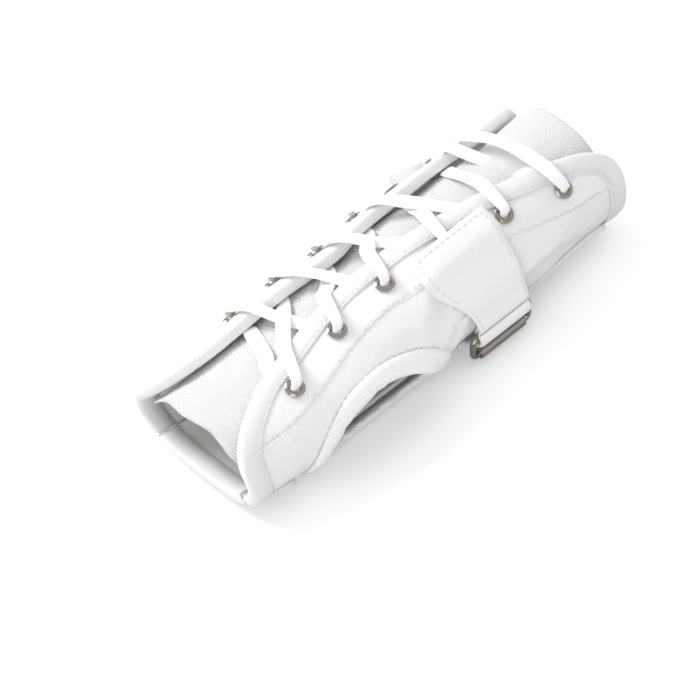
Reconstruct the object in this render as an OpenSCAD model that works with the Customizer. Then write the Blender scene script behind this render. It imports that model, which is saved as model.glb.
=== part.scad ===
// Lace-up wrist brace for the right hand, laid palm down.
// +Z is the back of the hand, +X the thumb side, +Y runs from the fingers to the forearm.

/* [Body] */
// Length of the brace along the arm
body_length = 224; // [216:2:232]
// Thickness of the cotton duck shell
shell_t = 1.2; // [1.0:0.1:1.3]
// Thickness of the soft lining
lining_t = 1.8; // [1.4:0.1:1.9]
// Width of the woven tape folded over the edges
binding_w = 8.5; // [7:0.5:9]

/* [Lacing] */
// Eyelets on each flap
eyelet_count = 6; // [6]
// Spacing of the eyelets on the thumb side flap
radial_pitch = 30.8; // [30:0.2:31.4]
// Spacing of the eyelets on the little finger side flap
ulnar_pitch = 24; // [23:0.5:25]
// Radius of an eyelet's hole
eyelet_hole_r = 2.4; // [2.2:0.1:2.5]
// Radius of an eyelet's rolled flange
eyelet_flange_r = 4.4; // [4:0.1:4.6]
// Width of the flat lace
lace_w = 7; // [6:0.5:7]
// Thickness of the flat lace
lace_t = 1.1; // [0.9:0.1:1.2]

/* [Thumb opening] */
// Half length of the thumb opening along the arm
thumb_half_length = 35; // [33:1:36]
// Width of the knitted band around the thumb opening
thumb_band_w = 10; // [8:1:11]

/* [Strap and ring] */
// Width of the strap where it runs through the ring
strap_w = 30; // [28:1:31]
// Width of the strap's free end on the back of the wrist
strap_end_w = 45; // [42:1:46]
// Thickness of the strap
strap_t = 1.6; // [1.2:0.1:1.7]
// Wire radius of the rectangular ring
ring_wire_r = 1.5; // [1.3:0.1:1.6]
// Depth of the ring between its two long bars
ring_depth = 12.5; // [12:0.5:13.5]

/* [Hidden] */
$fn = 48;

// Body sections from fingers to forearm: place along the arm, half width, half height, eyelet angle
stations = [
    [-112, 41.5, 22, 52],
    [-78, 42.5, 25, 52],
    [-40, 44, 27.5, 64],
    [-10, 42.5, 28, 68],
    [8, 41, 29, 62],
    [46, 40, 29.5, 52],
    [83, 36, 31, 33],
    [112, 36.5, 33.5, 23]];
x_shift = -0.15;      // puts the whole part's middle on the origin
half_length = body_length / 2;
stay_flat = 1.6;      // how much the flat stay squares off the palm side
seam_angle = -38;     // the two seams beside the palm panel, below horizontal
seam_gap = 0.5;       // angle left open at a seam
layer_gap = 0.2;      // space between layers of cloth
stay_t = 1.6;
edge_margin = 13.2;   // eyelet centre to the flap's edge
eyestay_w = 24;
binding_t = 1;
tape_gap = 0.25;
thumb_y = -41;        // middle of the thumb opening along the arm
thumb_up = 51;        // its reach above and below the seam, as angles
thumb_down = 10;
lining_bottom = -shell_t - layer_gap - lining_t;
tongue_top = -6.9;
tongue_t = 1;
cols = 12;

// Smooth curve through the stations' column c
last = len(stations) - 1;
function seg(y, i = 0) = i >= last - 1 || y < stations[i + 1][0] ? i : seg(y, i + 1);
function slope(i, c) = let(p = max(i - 1, 0), q = min(i + 1, last))
    (stations[q][c] - stations[p][c]) / (stations[q][0] - stations[p][0]);
function at(y, c) = let(i = seg(y), w = stations[i + 1][0] - stations[i][0],
        t = (y - stations[i][0]) / w, t2 = t * t, t3 = t2 * t)
    (2 * t3 - 3 * t2 + 1) * stations[i][c] + (t3 - 2 * t2 + t) * w * slope(i, c)
    + (3 * t2 - 2 * t3) * stations[i + 1][c] + (t3 - t2) * w * slope(i + 1, c);
function half_w(y) = at(y, 1);
function half_h(y) = at(y, 2);
function lace_angle(y) = at(y, 3);
function smooth(t) = let(k = min(max(t, 0), 1)) k * k * (3 - 2 * k);
function cube_of(t) = pow(max(t, 0), 3);

// The little finger side's flap reaches less far over the back: its angles are drawn in towards
// the seam. $drop is how far the angle 90 moves, and is 0 on the thumb side.
ulnar_drop = 33;
$drop = 0;
function turned(a) = a - $drop * (a - seam_angle) / (90 - seam_angle);
function turned_share() = 1 - $drop / (90 - seam_angle);

// Height of the palm side: lifted under the fingers, under the strap and at the forearm end
function base(y) = 6 * pow(max(-60 - y, 0) / 52, 2)
    + 2.2 * smooth((y + 8) / 18) * (1 - smooth((y - 46) / 30)) + 1.4 * smooth((y - 46) / 30);
function mid_z(y) = base(y) + half_h(y) - stay_flat;
// A point of the body: angle a round the section, place y, height off above the shell
function body_pt(a, y, off) = let(t = turned(a)) [x_shift + (half_w(y) + off) * cos(t), y,
    max(mid_z(y) + (half_h(y) + off) * sin(t), base(y) - off)];
function arc_mm(a, y) = let(t = turned(a))
    norm([half_w(y) * sin(t), half_h(y) * cos(t)]) * PI / 180 * turned_share();
function normal_angle(a, y) = let(t = turned(a)) atan2(sin(t) * half_w(y), cos(t) * half_h(y));

// The flap's outline: opening edge, finger end and forearm end
function open_angle(y) = lace_angle(y) + edge_margin / arc_mm(lace_angle(y), y);
// Corners of a flap: where the straight edge starts, how far its end is cut back, over what angle
function corner_d() = $drop > 0 ? [-77, 34, 35] : [-73, 36, 68];
function corner_p() = $drop > 0 ? [76.5, 38, 51] : [83.5, 32, 51];
function distal_y(a) = let(c = corner_d())
    -half_length + c[1] * cube_of((a - open_angle(c[0]) + c[2]) / c[2]);
function proximal_y(a) = let(c = corner_p())
    half_length - c[1] * cube_of((a - open_angle(c[0]) + c[2]) / c[2]);
function thumb_reach(y, grow) = let(t = (y - thumb_y) / (thumb_half_length + grow))
    abs(t) < 1 ? sqrt(1 - t * t) : 0;

// Rows along the arm, closer together at the two ends of the thumb opening
thumb_rows = [for (i = [0:12]) thumb_y - (thumb_half_length + 2) * cos(i * 15)];
flap_rows = concat([for (i = [0:3]) -half_length + i * 9], thumb_rows,
    [for (i = [1:9]) thumb_y + thumb_half_length + 2
        + i * (half_length - thumb_y - thumb_half_length - 2) / 9]);
plain_rows = [for (i = [0:20]) -half_length + i * body_length / 20];

// A closed solid between two grids of points
module grid_solid(top, bottom, loop = false) {
    m = len(top);
    n = len(top[0]);
    s = m * n;
    function quad(a, b, c, d) = [[a, b, c], [a, c, d]];
    wrap = loop ? m : m - 1;
    faces = concat(
        [for (i = [0:wrap - 1], j = [0:n - 2]) let(k = (i + 1) % m)
            each quad(i * n + j, i * n + j + 1, k * n + j + 1, k * n + j)],
        [for (i = [0:wrap - 1], j = [0:n - 2]) let(k = (i + 1) % m)
            each quad(s + i * n + j, s + k * n + j, s + k * n + j + 1, s + i * n + j + 1)],
        [for (i = [0:wrap - 1]) let(k = (i + 1) % m)
            each quad(i * n, k * n, s + k * n, s + i * n)],
        [for (i = [0:wrap - 1]) let(k = (i + 1) % m)
            each quad(i * n + n - 1, s + i * n + n - 1, s + k * n + n - 1, k * n + n - 1)],
        loop ? [] : [for (j = [0:n - 2]) each quad(j, s + j, s + j + 1, j + 1)],
        loop ? [] : [for (j = [0:n - 2]) let(r = (m - 1) * n)
            each quad(r + j, r + j + 1, s + r + j + 1, s + r + j)]);
    polyhedron(points = concat([for (r = top) each r], [for (r = bottom) each r]),
        faces = faces);
}

// A flap of cloth between angle lo(y) and the opening edge, trimmed to the flap's outline
module flap_sheet(rows, lo, hi, off_top, off_bottom) {
    function pt(yn, u, off) = let(k = (yn + half_length) / body_length,
            a0 = lo(yn) + (hi(yn) - lo(yn)) * u,
            y0 = distal_y(a0) * (1 - k) + proximal_y(a0) * k,
            a = lo(yn) + (hi(y0) - lo(yn)) * u,
            y = distal_y(a) * (1 - k) + proximal_y(a) * k)
        body_pt(a, y, off);
    function grid(off) = [for (yn = rows) [for (j = [0:cols]) pt(yn, j / cols, off)]];
    grid_solid(grid(off_top), grid(off_bottom));
}

// A strip of cloth lying on the body between lo(y) and hi(y)
module strip(rows, lo, hi, off_top, off_bottom, n = cols) {
    function grid(off) = [for (y = rows) [for (j = [0:n])
        body_pt(lo(y) + (hi(y) - lo(y)) * j / n, y, off)]];
    grid_solid(grid(off_top), grid(off_bottom));
}

// Steps t millimetres to the left of a path of [angle, y] at its point i
function stepped(path, i, t, loop) = let(m = len(path),
        p = path[loop ? (i + m - 1) % m : max(i - 1, 0)],
        q = path[loop ? (i + 1) % m : min(i + 1, m - 1)],
        k = arc_mm(path[i][0], path[i][1]),
        d = [(q[0] - p[0]) * k, q[1] - p[1]], w = d / norm(d))
    [path[i][0] - w[1] * t / k, path[i][1] + w[0] * t];
// Tape folded over an edge: each profile entry is [millimetres in from the edge, height]
module edge_tape(path, outer, inner, loop = false) {
    function grid(profile) = [for (i = [0:len(path) - 1]) [for (c = profile)
        let(s = stepped(path, i, c[0], loop)) body_pt(s[0], s[1], c[1])]];
    grid_solid(grid(outer), grid(inner), loop);
}
tape_low = lining_bottom - tape_gap;
tape_outer = [[binding_w, tape_gap + binding_t], [binding_w / 2, tape_gap + binding_t],
    [0, tape_gap + binding_t], [-tape_gap - binding_t, tape_gap],
    [-tape_gap - binding_t, tape_low], [0, tape_low - binding_t],
    [binding_w, tape_low - binding_t]];
tape_inner = [[binding_w, tape_gap], [binding_w / 2, tape_gap], [0, tape_gap],
    [-tape_gap, tape_gap], [-tape_gap, tape_low], [0, tape_low], [binding_w, tape_low]];
deep_low = tape_low - stay_t - layer_gap;
deep_outer = [for (c = tape_outer) c[1] < 0 ? [c[0], c[1] - stay_t - layer_gap] : c];
deep_inner = [for (c = tape_inner) c[1] < 0 ? [c[0], c[1] - stay_t - layer_gap] : c];

// The free edge of a flap, from the seam at the fingers round to the seam at the forearm
function flap_edge() = let(d = corner_d()[0], p = corner_p()[0]) concat(
    [for (i = [0:11]) let(a = seam_angle + 3 + (open_angle(d) - seam_angle - 6.5) * i / 11)
        [a, distal_y(a)]],
    [for (i = [0:12]) let(y = d + (p - d) * i / 12) [open_angle(y), y]],
    [for (i = [0:9]) let(a = (open_angle(p) - 3) * (1 - i / 9) + (seam_angle + 3) * i / 9)
        [a, proximal_y(a)]]);

radial_lo = function(y) seam_angle + seam_gap + (thumb_up + 3) * thumb_reach(y, 2);
ulnar_lo = function(y) seam_angle + seam_gap;
flap_hi = function(y) open_angle(y);
palm_hi = function(y) seam_angle - seam_gap - (thumb_down + 3) * thumb_reach(y, 2);
palm_lo = function(y) -180 - seam_angle + seam_gap;

module ulnar_side() {
    $drop = ulnar_drop;
    translate([2 * x_shift, 0, 0]) mirror([1, 0, 0]) children();
}
// Places children on the body with +Z along the surface normal
module on_body(a, y, off = 0) {
    translate(body_pt(a, y, off)) rotate([0, 90 - normal_angle(a, y), 0]) children();
}
function radial_eyelet_y(i) = -71 + radial_pitch * i;
function ulnar_eyelet_y(i) = -58 + ulnar_pitch * i;
radial_eyelet_ys = [for (i = [0:eyelet_count - 1]) radial_eyelet_y(i)];
ulnar_eyelet_ys = [for (i = [0:eyelet_count - 1]) ulnar_eyelet_y(i)];
module eyelet_bores(ys) {
    for (y = ys) on_body(lace_angle(y), y, -6) cylinder(r = eyelet_hole_r + 0.7, h = 10);
}

module shell_flap(rows, lo, ys) {
    difference() {
        flap_sheet(rows, lo, flap_hi, 0, -shell_t);
        eyelet_bores(ys);
    }
}
module lining_flap(rows, lo, ys) {
    difference() {
        flap_sheet(rows, lo, flap_hi, -shell_t - layer_gap, lining_bottom);
        eyelet_bores(ys);
    }
}
module radial_panel() { color("white") shell_flap(flap_rows, radial_lo, radial_eyelet_ys); }
module ulnar_panel() {
    color("white") ulnar_side() shell_flap(plain_rows, ulnar_lo, ulnar_eyelet_ys);
}
module radial_lining() { color("ivory") lining_flap(flap_rows, radial_lo, radial_eyelet_ys); }
module ulnar_lining() {
    color("ivory") ulnar_side() lining_flap(plain_rows, ulnar_lo, ulnar_eyelet_ys);
}
module volar_panel() { color("whitesmoke") strip(flap_rows, palm_lo, palm_hi, 0, -shell_t, 14); }
module volar_lining() {
    top = -shell_t - stay_t - 2 * layer_gap;
    color("ivory") strip(flap_rows, palm_lo, palm_hi, top, top - lining_t, 14);
}

// Flat aluminium stay between the palm panel and its lining, wider under the palm
module volar_stay() {
    stay_rows = [for (i = [0:14]) -96 + i * 14];
    reach = function(y) 17 + 6 * smooth((-30 - y) / 40);
    color("silver") strip(stay_rows, function(y) -90 - reach(y), function(y) -90 + reach(y),
        -shell_t - layer_gap, -shell_t - layer_gap - stay_t, 6);
}

module eyestay(ys, from, to) {
    rows = [for (i = [0:15]) from + i * (to - from) / 15];
    hi = function(y) open_angle(y) - (binding_w + 0.4) / arc_mm(open_angle(y), y);
    lo = function(y) open_angle(y) - eyestay_w / arc_mm(lace_angle(y), y);
    difference() {
        strip(rows, lo, hi, layer_gap + 0.9, layer_gap, 6);
        eyelet_bores(ys);
    }
}
module radial_eyestay() { color("white") eyestay(radial_eyelet_ys, -79, 88); }
module ulnar_eyestay() { color("white") ulnar_side() eyestay(ulnar_eyelet_ys, -72, 79); }

// A two-part eyelet: rolled flange and barrel outside, flat washer inside
module eyelet_row(ys) {
    flange_t = 0.8;
    for (y = ys) on_body(lace_angle(y), y, layer_gap + 1) rotate_extrude() polygon([
        [eyelet_hole_r, -5], [eyelet_hole_r + 0.35, -5], [eyelet_hole_r + 0.35, 0],
        [eyelet_flange_r, 0], [eyelet_flange_r, 0.3], [eyelet_flange_r - 0.7, flange_t],
        [eyelet_hole_r + 0.5, flange_t], [eyelet_hole_r, 0.3]]);
}
module washer_row(ys) {
    washer_t = 0.4;
    for (y = ys) on_body(lace_angle(y), y, lining_bottom - 0.9) difference() {
        cylinder(r = eyelet_flange_r, h = washer_t);
        translate([0, 0, -1]) cylinder(r = eyelet_hole_r + 0.4, h = washer_t + 2);
    }
}
module radial_eyelets() { color("silver") eyelet_row(radial_eyelet_ys); }
module ulnar_eyelets() { color("silver") ulnar_side() eyelet_row(ulnar_eyelet_ys); }
module radial_washers() { color("silver") washer_row(radial_eyelet_ys); }
module ulnar_washers() { color("silver") ulnar_side() washer_row(ulnar_eyelet_ys); }

module radial_edge_binding() {
    color("white") edge_tape(flap_edge(), tape_outer, tape_inner);
}
module ulnar_edge_binding() {
    color("white") ulnar_side() edge_tape(flap_edge(), tape_outer, tape_inner);
}
module palm_end(y, turn) {
    path = [for (i = [0:14]) [-90 + turn * (-90 - seam_angle - 1.5) * (i / 7 - 1), y]];
    color("white") edge_tape(path, deep_outer, deep_inner);
}
module distal_binding() { palm_end(-half_length, -1); }
module proximal_binding() { palm_end(half_length, 1); }

// Soft knitted band round the thumb opening
module thumb_band() {
    path = [for (i = [0:31]) let(f = -i * 360 / 32)
        [seam_angle + (sin(f) > 0 ? thumb_up : thumb_down) * sin(f),
            thumb_y - thumb_half_length * cos(f)]];
    outer = [[thumb_band_w, 1], [thumb_band_w - 3, 2.4], [2, 2.6], [-0.6, 1],
        [-1, -2], [0.6, deep_low - 1]];
    inner = [[thumb_band_w, tape_gap], [thumb_band_w - 3, tape_gap], [2, tape_gap],
        [1, 0], [1, -2], [1.4, deep_low]];
    color("snow") edge_tape(path, outer, inner, true);
}

// Closed tube of rings, given as [centre, width direction, half width, half thickness]
function unit(v) = v / norm(v);
module ribbon(rings, sides = 8) {
    m = len(rings);
    function ring(k) = let(r = rings[k],
            d = unit(rings[min(k + 1, m - 1)][0] - rings[max(k - 1, 0)][0]),
            w = unit(r[1] - (r[1] * d) * d), t = cross(w, d))
        [for (i = [0:sides - 1]) r[0] + w * r[2] * cos((i + 0.5) * 360 / sides)
            + t * r[3] * sin((i + 0.5) * 360 / sides)];
    polyhedron(points = [for (k = [0:m - 1]) each ring(k)],
        faces = concat([for (j = [1:sides - 2]) [0, j + 1, j]],
            [for (k = [0:m - 2], i = [0:sides - 1]) let(n = (i + 1) % sides,
                p = k * sides + i, q = k * sides + n, u = p + sides, v = q + sides)
                each [[p, q, v], [p, v, u]]],
            [for (j = [1:sides - 2]) let(b = (m - 1) * sides) [b, b + j, b + j + 1]]));
}
module piping(from, to, count) {
    ribbon([for (i = [0:count]) let(y = from + (to - from) * i / count)
        [body_pt(seam_angle, y, 1.6), [0, 0, 1], 1.2, 1.2]]);
}
module radial_piping() {
    color("white") union() {
        piping(thumb_y + thumb_half_length + 14, 12, 2);
        piping(46, 102, 8);
        piping(-102, thumb_y - thumb_half_length - 13, 2);
    }
}
module ulnar_piping() {
    color("white") ulnar_side() union() {
        piping(-102, 11, 12);
        piping(46, 102, 8);
    }
}

// Ribbed elastic tongue under the lacing
module tongue() {
    rows = [for (i = [0:18]) -109 + i * 217.5 / 18];
    color("whitesmoke") strip(rows, function(y) 28, function(y) 152,
        tongue_top, tongue_top - tongue_t, 14);
}

// The lace: out of one flap's eyelet, across the gap and up through the other flap's eyelet
function mirrored(p, side) = side > 0 ? p : [2 * x_shift - p[0], p[1], p[2]];
function side_pt(side, a, y, off) = let($drop = side > 0 ? 0 : ulnar_drop)
    mirrored(body_pt(a, y, off), side);
function side_edge(side, y) = let($drop = side > 0 ? 0 : ulnar_drop) open_angle(y);
function eyelet_y(side, i) = side > 0 ? radial_eyelet_y(i) : ulnar_eyelet_y(i);
under_off = tongue_top + 0.6 + lace_t / 2;
over_off = tape_gap + binding_t + 0.8 + lace_t / 2;
bunched = [1.3, 1];
function hole(side, i, off) = let(y = eyelet_y(side, i))
    [side_pt(side, lace_angle(y), y, off), [0, 1, 0], bunched[0], bunched[1]];
function flat_ring(p, w) = [p, w, lace_w / 2, lace_t / 2];
// The direction w laid flat on the surface
function laid(side, a, y, w) = let($drop = side > 0 ? 0 : ulnar_drop, t = normal_angle(a, y),
    n = [side * cos(t), 0, sin(t)]) w - (w * n) * n;
// Width direction square to a crossing from p to q, kept pointing up the arm
function across(p, q) = let(d = unit([q[0] - p[0], q[1] - p[1], 0]))
    d[0] < 0 ? [d[1], -d[0], 0] : [-d[1], d[0], 0];
function crossing(side, i, j, lift) = let(
        y0 = eyelet_y(side, i), y1 = eyelet_y(-side, j),
        e0 = side_edge(side, y0), e1 = side_edge(-side, y1),
        step = (y1 - y0) * 0.22,
        p0 = side_pt(side, lace_angle(y0) + 3.5, y0 + step * 0.25, over_off + 2.2),
        p1 = side_pt(side, e0 + 2, y0 + step, over_off + 0.6),
        p3 = side_pt(-side, e1 + 4, y1 - step, under_off),
        p4 = side_pt(-side, e1 - 8, y1 - step * 0.5, under_off),
        w = across(p1, p3), mid = (p1 + p3) / 2 + [0, 0, lift])
    [hole(side, i, -5.3), hole(side, i, 2.4), [p0, w, lace_w / 2 - 0.8, lace_t / 2],
        flat_ring(p1, laid(side, e0 + 2, y0 + step, w)),
        flat_ring((p1 + mid) / 2 + [0, 0, 0.5], w), flat_ring(mid, w),
        flat_ring((mid + p3) / 2 + [0, 0, -0.2], w),
        flat_ring(p3, laid(-side, e1 + 4, y1 - step, w)),
        [p4, laid(-side, e1 - 8, y1 - step / 2, w), lace_w / 2 - 1.2, lace_t / 2]];
// The lace comes to a flat knot on the little finger side, and its two ends lie down that side
knot_a = 30;
knot_y = 68;
function ulnar_pt(a, y, off) = side_pt(-1, a, y, off);
function on_flap(a, y, off, turn) = let($drop = ulnar_drop, t = normal_angle(a, y))
    flat_ring(ulnar_pt(a, y, off), sin(turn) * [sin(t), 0, cos(t)] + [0, cos(turn), 0]);
module lace_strand_a() {
    top = eyelet_count - 1;
    y = radial_eyelet_y(top);
    color("white") ribbon(concat(
        [for (i = [0:top - 1]) each crossing(i % 2 == 0 ? 1 : -1, i, i + 1, 1.1)],
        crossing(-1, top, top, -1),
        [hole(1, top, -5.3), hole(1, top, 2.4),
            [side_pt(1, lace_angle(y) + 4, y - 0.5, 4.6), [0.2, 1, 0], 2.7, lace_t / 2],
            flat_ring(side_pt(1, open_angle(y), y - 2, 3.2), [0.2, 1, 0]),
            flat_ring(body_pt(90, y - 5, 2.6), [0.2, 1, 0]),
            on_flap(side_edge(-1, 76) + 4, 76, 3.4, -12), on_flap(48, 73.5, 3.4, -14),
            on_flap(knot_a + 10, knot_y + 2, 3.6, -10)]));
}
module lace_strand_b() {
    y0 = radial_eyelet_y(0);
    y1 = ulnar_eyelet_y(0);
    top = eyelet_count - 2;
    bar = [0.15, 1, 0];
    color("white") ribbon(concat(
        [[side_pt(1, lace_angle(y0), y0, under_off), bar, 2.4, lace_t / 2],
            flat_ring(side_pt(1, open_angle(y0) - 3, y0, under_off), bar),
            flat_ring(side_pt(1, open_angle(y0) + 8, y0 + 1, under_off + 0.3), bar),
            flat_ring(body_pt(90, (y0 + y1) / 2 - 2, under_off + 0.8), bar),
            flat_ring(side_pt(-1, side_edge(-1, y1) + 5, y1 - 2, under_off), bar),
            [side_pt(-1, side_edge(-1, y1) - 8, y1 - 1, under_off), bar, 2.4, lace_t / 2]],
        [for (i = [0:top - 1]) each crossing(i % 2 == 0 ? -1 : 1, i, i + 1, -1.1)],
        [hole(-1, top, -5.3), hole(-1, top, 2.4),
            on_flap(lace_angle(38) - 3, 41, 4.6, 60), on_flap(46, 50, 3.4, 70),
            on_flap(40, 56, 3.4, 70), on_flap(knot_a + 6, knot_y - 6, 3.6, 60)]));
}
module lace_knot() {
    color("white") ribbon([
        [ulnar_pt(knot_a + 4, knot_y - 3.2, 4.8), [1, 0, 0.6], 2, 1],
        [ulnar_pt(knot_a + 2.5, knot_y - 1.5, 4.8), [1, 0, 0.6], 4.2, 2],
        [ulnar_pt(knot_a, knot_y + 1, 4.8), [1, 0, 0.6], 4.6, 2.2],
        [ulnar_pt(knot_a - 2, knot_y + 3.5, 4.8), [1, 0, 0.6], 4.2, 2],
        [ulnar_pt(knot_a - 3, knot_y + 5.2, 4.8), [1, 0, 0.6], 2, 1]]);
}
// The two free ends, as angle, place and turn of the width direction
tail_up = [[27, 70, 45], [20, 78, 38], [12, 85, 30], [3, 91, 22], [-7, 95, 12], [-17, 97, 4],
    [-25, 98, 0]];
tail_down = [[26, 66, -45], [18, 58.5, -40], [9, 51, -35], [-1, 45, -28], [-11, 41, -18],
    [-20, 38.5, -10], [-26, 37.5, -6]];
module lace_tails() {
    color("white") union() for (tail = [tail_up, tail_down])
        ribbon([for (p = tail) on_flap(p[0], p[1], 2, p[2])]);
}
module aglets() {
    color("gainsboro") union() for (tail = [tail_up, tail_down]) {
        p = tail[6];
        step = p[1] > knot_y ? 0.4 : -1;
        ribbon([for (i = [0:3]) [ulnar_pt(p[0] - 1 - i * 2.4, p[1] + step * i / 2, 2.8),
            [0, 1, 0], 1.5, 1.1]]);
    }
}
module loop_patch() {
    color("white") strip([for (i = [0:4]) 7 + i * 9], function(y) 6, function(y) 33,
        layer_gap + 0.7, layer_gap, 6);
}

// The ring hangs beside the wrist from bar A; the strap comes up behind bar B and over bar A
strap_y = 28.6;
ring_angle = -26;
bar_a = body_pt(ring_angle, strap_y, 4);
ring_lean = 194;
bar_b = bar_a + ring_depth * [sin(ring_lean), 0, cos(ring_lean)];
ring_span = strap_w + 3.4;
bend_r = 3;
chape_w = strap_w - 5;
module ring_frame() {
    a = ring_span / 2;
    d = ring_depth;
    color("silver") translate(bar_a) rotate([0, ring_lean, 0]) union() {
        for (s = [-1, 1]) {
            translate([0, s * a, bend_r]) cylinder(r = ring_wire_r, h = d - 2 * bend_r);
            for (e = [0, 1]) translate([0, 0, e * d]) mirror([0, 0, e]) mirror([0, s < 0 ? 1 : 0, 0])
                translate([0, a - bend_r, bend_r]) rotate([0, 90, 0])
                    rotate_extrude(angle = 90) translate([bend_r, 0]) circle(r = ring_wire_r);
        }
        for (e = [0, 1]) translate([0, -a + bend_r, e * d]) rotate([-90, 0, 0])
            cylinder(r = ring_wire_r, h = 2 * (a - bend_r));
    }
}
module ring_roller() {
    roller_l = ring_span - 2 * bend_r - 0.6;
    color("lightgray") translate(bar_b + [0, -roller_l / 2, 0]) rotate([-90, 0, 0]) difference() {
        cylinder(r = 2.5, h = roller_l);
        translate([0, 0, -1]) cylinder(r = ring_wire_r + 0.08, h = roller_l + 2);
    }
}
// Webbing loop that holds bar A, with its leg sewn to the thumb side panel
module ring_chape() {
    function leg(off) = [for (a = [ring_angle - 3:4:ring_angle + 21])
        let(p = body_pt(a, strap_y, off)) [p[0], p[2]]];
    n = len(leg(0));
    color("white") translate([0, strap_y + chape_w / 2, 0]) rotate([90, 0, 0])
        linear_extrude(chape_w) difference() {
            union() {
                translate([bar_a[0], bar_a[2]]) circle(r = 2.6);
                polygon(concat(leg(0.6), [for (i = [0:n - 1]) leg(2)[n - 1 - i]]));
            }
            translate([bar_a[0], bar_a[2]]) circle(r = ring_wire_r + 0.1);
        }
}
function round_bar(f, y, r) = [bar_a[0] + r * cos(f), y, bar_a[2] + r * sin(f)];
wrap_r = 3;
module strap_lower() {
    half = strap_w / 2;
    function row(off, r) = concat(
        [for (a = [-138:8:-50]) [for (s = [-1, 0, 1]) body_pt(a, strap_y + s * half, off)]],
        [for (f = [-105:25.2:46.2]) [for (s = [-1, 0, 1]) round_bar(f, strap_y + s * half, r)]]);
    color("white") grid_solid(row(0.3, wrap_r), row(0.3 + strap_t, wrap_r + strap_t));
}
// Clearance of the strap's free end above the shell, higher over the ring and the eyelet
function strap_off(a) = 1.8 + 2.6 * (1 - smooth((a + 16) / 16)) + 3.6 * smooth((a - 34) / 14);
function strap_half(a) = strap_w / 2 + (strap_end_w - strap_w) / 2 * smooth((a + 10) / 60);
function strap_mid(a) = strap_y - 5.9 * smooth((a + 10) / 60);
function end_row(a, off) = [for (s = [-1, -0.5, 0, 0.5, 1])
    body_pt(a, strap_mid(a) + s * strap_half(a), off)];
module strap_free_end() {
    function row(extra, r) = concat(
        [[for (s = [-1, -0.5, 0, 0.5, 1]) round_bar(52, strap_y + s * strap_w / 2, r)]],
        [for (a = [-15:7:62]) end_row(a, strap_off(a) + extra)]);
    color("white") grid_solid(row(0, wrap_r), row(strap_t, wrap_r + strap_t));
}
module strap_hook() {
    color("white") strip([for (i = [0:4]) 10 + i * 8], function(y) 8, function(y) 31,
        1.65, 1.05, 6);
}

radial_panel();
volar_panel();
ulnar_panel();
radial_lining();
volar_lining();
ulnar_lining();
volar_stay();
radial_eyestay();
ulnar_eyestay();
radial_eyelets();
ulnar_eyelets();
radial_washers();
ulnar_washers();
radial_edge_binding();
ulnar_edge_binding();
distal_binding();
proximal_binding();
thumb_band();
radial_piping();
ulnar_piping();
tongue();
lace_strand_a();
lace_strand_b();
lace_knot();
lace_tails();
aglets();
loop_patch();
strap_lower();
strap_free_end();
strap_hook();
ring_chape();
ring_frame();
ring_roller();
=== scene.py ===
import math

import bpy
import numpy as np
from mathutils import Matrix, Vector, noise


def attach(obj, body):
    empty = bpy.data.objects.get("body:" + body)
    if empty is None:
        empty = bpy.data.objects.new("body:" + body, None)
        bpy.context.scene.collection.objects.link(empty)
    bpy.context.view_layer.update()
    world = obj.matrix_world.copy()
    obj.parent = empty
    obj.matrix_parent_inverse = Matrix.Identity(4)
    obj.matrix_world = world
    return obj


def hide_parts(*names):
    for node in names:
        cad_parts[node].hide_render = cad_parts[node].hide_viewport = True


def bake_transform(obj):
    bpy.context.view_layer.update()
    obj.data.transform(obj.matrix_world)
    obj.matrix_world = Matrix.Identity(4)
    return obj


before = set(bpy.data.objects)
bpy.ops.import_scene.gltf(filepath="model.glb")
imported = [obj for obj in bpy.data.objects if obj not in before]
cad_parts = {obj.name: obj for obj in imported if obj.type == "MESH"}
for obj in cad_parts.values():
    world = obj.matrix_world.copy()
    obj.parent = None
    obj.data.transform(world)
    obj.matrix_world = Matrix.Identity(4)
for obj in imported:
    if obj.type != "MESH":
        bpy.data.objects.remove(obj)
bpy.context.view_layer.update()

MM = 0.001


# Camera: a long lens from the thumb side, above the fingers, rolled so that the arm
# runs up to the right.
camera_turn, camera_height, camera_roll = (math.radians(a) for a in (60.86, 42.7, -16.55))
camera_distance = 1.1155
camera_slide = (-0.01645, -0.02438)
look_at = Vector((0, 0, 0.03))
back = Vector((math.sin(camera_turn) * math.cos(camera_height),
               -math.cos(camera_turn) * math.cos(camera_height), math.sin(camera_height)))
level = Vector((math.cos(camera_turn), math.sin(camera_turn), 0))
upright = back.cross(level)
right = level * math.cos(camera_roll) + upright * math.sin(camera_roll)
up = upright * math.cos(camera_roll) - level * math.sin(camera_roll)
camera = bpy.data.objects.new("camera", bpy.data.cameras.new("camera"))
bpy.context.collection.objects.link(camera)
camera.data.lens = 130
camera.data.sensor_width = 36
eye = look_at + back * camera_distance + right * camera_slide[0] + up * camera_slide[1]
camera.matrix_world = Matrix((
    (right.x, up.x, back.x, eye.x), (right.y, up.y, back.y, eye.y),
    (right.z, up.z, back.z, eye.z), (0, 0, 0, 1)))
bpy.context.scene.camera = camera


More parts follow.
